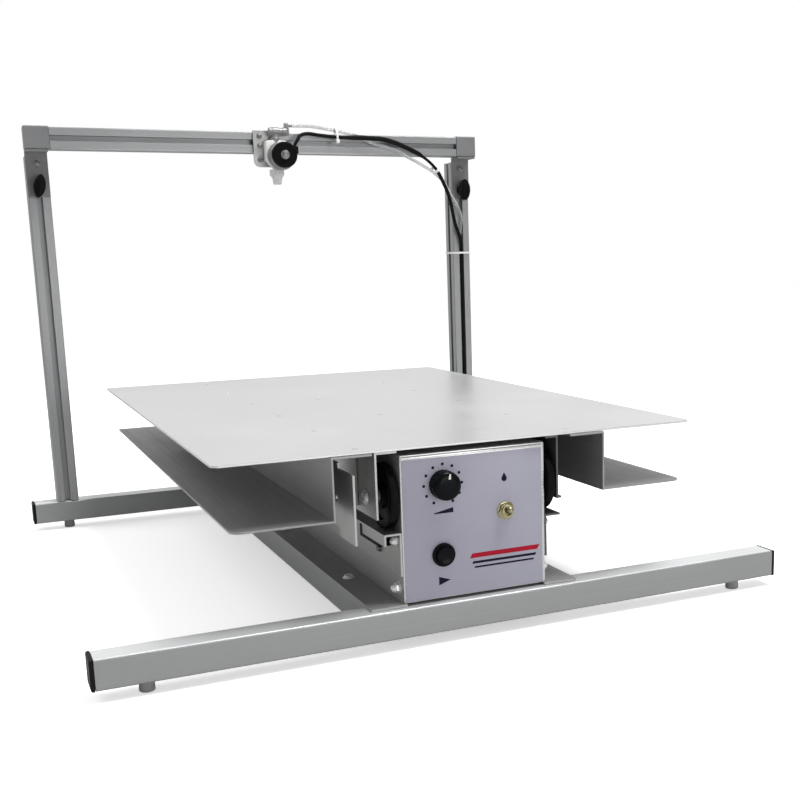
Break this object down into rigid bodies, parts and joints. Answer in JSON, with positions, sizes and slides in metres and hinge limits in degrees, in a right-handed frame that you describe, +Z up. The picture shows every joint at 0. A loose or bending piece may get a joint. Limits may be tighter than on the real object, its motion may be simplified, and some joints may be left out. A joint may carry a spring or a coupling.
{
  "type": "flatbed spray pretreatment machine",
  "caption": "Flat sheet platen on a rolling carriage over a boxed drive chassis, passing under a spray valve hung from a height-adjustable T-slot gantry.",
  "frame": {"origin": "bottom centre of the bounding box, on the resting plane of the four feet", "axes": "+Z up, +Y from the control panel to the gantry, +X to the operator's right"},
  "size_m": [0.647, 0.6614, 0.5],
  "materials": {
    "anodised_extrusion": "satin anodised",
    "satin_sheet": "fine brushed",
    "grey_sheet": "mill finish",
    "zinc_steel": "zinc plated",
    "cast_grey": "matt",
    "black_plastic": "satin",
    "gloss_black": "gloss",
    "white_plastic": "satin",
    "clear_plastic": "clear",
    "panel_face": "matt film",
    "brass": "bright",
    "grey_rubber": "matt",
    "black_rubber": "matt",
    "motor_black": "satin"
  },
  "bodies": {
    "frame": {"front_crossbar": "anodised_extrusion", "rear_crossbar": "anodised_extrusion", "left_base_tube": "anodised_extrusion", "right_base_tube": "anodised_extrusion", "left_post": "anodised_extrusion", "right_post": "anodised_extrusion", "front_cap_left": "black_plastic", "front_cap_right": "black_plastic", "rear_cap_left": "black_plastic", "rear_cap_right": "black_plastic", "home_switch": "black_plastic", "start_switch_body": "black_plastic", "power_inlet": "black_plastic", "front_foot_left": "grey_rubber", "front_foot_right": "grey_rubber", "rear_foot_left": "grey_rubber", "rear_foot_right": "grey_rubber", "chassis_channel": "grey_sheet", "rear_cover": "grey_sheet", "left_guide_rail": "zinc_steel", "right_guide_rail": "zinc_steel", "motor_bracket": "zinc_steel", "idler_bracket": "zinc_steel", "speed_potentiometer": "cast_grey", "front_panel": "panel_face", "prime_switch_body": "brass", "prime_nut": "brass", "timing_belt": "black_rubber", "drive_motor": "motor_black", "fluid_pump": "motor_black", "spray_hose": "clear_plastic", "valve_cable": "black_rubber"},
    "carriage": {"platen": "satin_sheet", "left_side_bracket": "grey_sheet", "right_side_bracket": "grey_sheet", "left_slide_plate": "zinc_steel", "right_slide_plate": "zinc_steel", "stop_bracket": "zinc_steel", "belt_clamp": "zinc_steel"},
    "left_wheel_1": {"left_wheel_1": "black_plastic"},
    "left_wheel_2": {"left_wheel_2": "black_plastic"},
    "right_wheel_1": {"right_wheel_1": "black_plastic"},
    "right_wheel_2": {"right_wheel_2": "black_plastic"},
    "drive_pulley": {"drive_pulley": "zinc_steel"},
    "idler_pulley": {"idler_pulley": "zinc_steel"},
    "gantry_beam": {"crossbeam": "anodised_extrusion", "left_end_block": "cast_grey", "right_end_block": "cast_grey", "left_clamp_bracket": "cast_grey", "right_clamp_bracket": "cast_grey", "head_bracket": "zinc_steel", "valve_body": "white_plastic", "solenoid_coil": "black_plastic", "spray_nozzle": "white_plastic", "hose_elbow": "cast_grey"},
    "left_clamp_knob": {"left_clamp_knob": "black_plastic"},
    "right_clamp_knob": {"right_clamp_knob": "black_plastic"},
    "speed_knob": {"speed_knob": "gloss_black"},
    "start_button": {"start_button": "gloss_black"},
    "prime_lever": {"prime_lever": "brass"}
  },
  "joints": [
    {"name": "carriage_slide", "type": "slide", "parent": "frame", "child": "carriage", "axis": [0, 1, 0], "range_m": [0, 0.38]},
    {"name": "left_wheel_1_spin", "type": "hinge", "parent": "carriage", "child": "left_wheel_1", "pos_m": [-0.0718, -0.29225, 0.129], "axis": [1, 0, 0], "continuous": true},
    {"name": "left_wheel_2_spin", "type": "hinge", "parent": "carriage", "child": "left_wheel_2", "pos_m": [-0.0718, -0.08225, 0.129], "axis": [1, 0, 0], "continuous": true},
    {"name": "right_wheel_1_spin", "type": "hinge", "parent": "carriage", "child": "right_wheel_1", "pos_m": [0.0768, -0.29225, 0.129], "axis": [1, 0, 0], "continuous": true},
    {"name": "right_wheel_2_spin", "type": "hinge", "parent": "carriage", "child": "right_wheel_2", "pos_m": [0.0768, -0.08225, 0.129], "axis": [1, 0, 0], "continuous": true},
    {"name": "drive_pulley_spin", "type": "hinge", "parent": "frame", "child": "drive_pulley", "pos_m": [0.0025, 0.19375, 0.141], "axis": [1, 0, 0], "continuous": true},
    {"name": "idler_pulley_spin", "type": "hinge", "parent": "frame", "child": "idler_pulley", "pos_m": [0.0025, -0.27625, 0.141], "axis": [1, 0, 0], "continuous": true},
    {"name": "gantry_height", "type": "slide", "parent": "frame", "child": "gantry_beam", "axis": [0, 0, 1], "range_m": [-0.03, 0.02], "deforming": ["spray_hose", "valve_cable"]},
    {"name": "left_clamp_turn", "type": "hinge", "parent": "gantry_beam", "child": "left_clamp_knob", "pos_m": [-0.281, 0.30375, 0.422], "axis": [0, -1, 0], "range_deg": [0, 360]},
    {"name": "right_clamp_turn", "type": "hinge", "parent": "gantry_beam", "child": "right_clamp_knob", "pos_m": [0.273, 0.30375, 0.42], "axis": [0, -1, 0], "range_deg": [0, 360]},
    {"name": "speed_dial", "type": "hinge", "parent": "frame", "child": "speed_knob", "pos_m": [-0.0269, -0.31725, 0.138], "axis": [0, 1, 0], "range_deg": [-150, 150]},
    {"name": "start_press", "type": "slide", "parent": "frame", "child": "start_button", "axis": [0, 1, 0], "range_m": [0, 0.003], "stiffness_N_per_m": 400},
    {"name": "prime_toggle", "type": "hinge", "parent": "frame", "child": "prime_lever", "pos_m": [0.0318, -0.31875, 0.1087], "axis": [1, 0, 0], "range_deg": [0, 24], "stiffness_Nm_per_rad": 0.05}
  ],
  "couplings": [
    {"joint": "left_wheel_1_spin", "follows": "carriage_slide", "rad_per_m": -34.483},
    {"joint": "left_wheel_2_spin", "follows": "carriage_slide", "rad_per_m": -34.483},
    {"joint": "right_wheel_1_spin", "follows": "carriage_slide", "rad_per_m": -34.483},
    {"joint": "right_wheel_2_spin", "follows": "carriage_slide", "rad_per_m": -34.483},
    {"joint": "drive_pulley_spin", "follows": "carriage_slide", "rad_per_m": -110.5},
    {"joint": "idler_pulley_spin", "follows": "carriage_slide", "rad_per_m": -110.5}
  ]
}
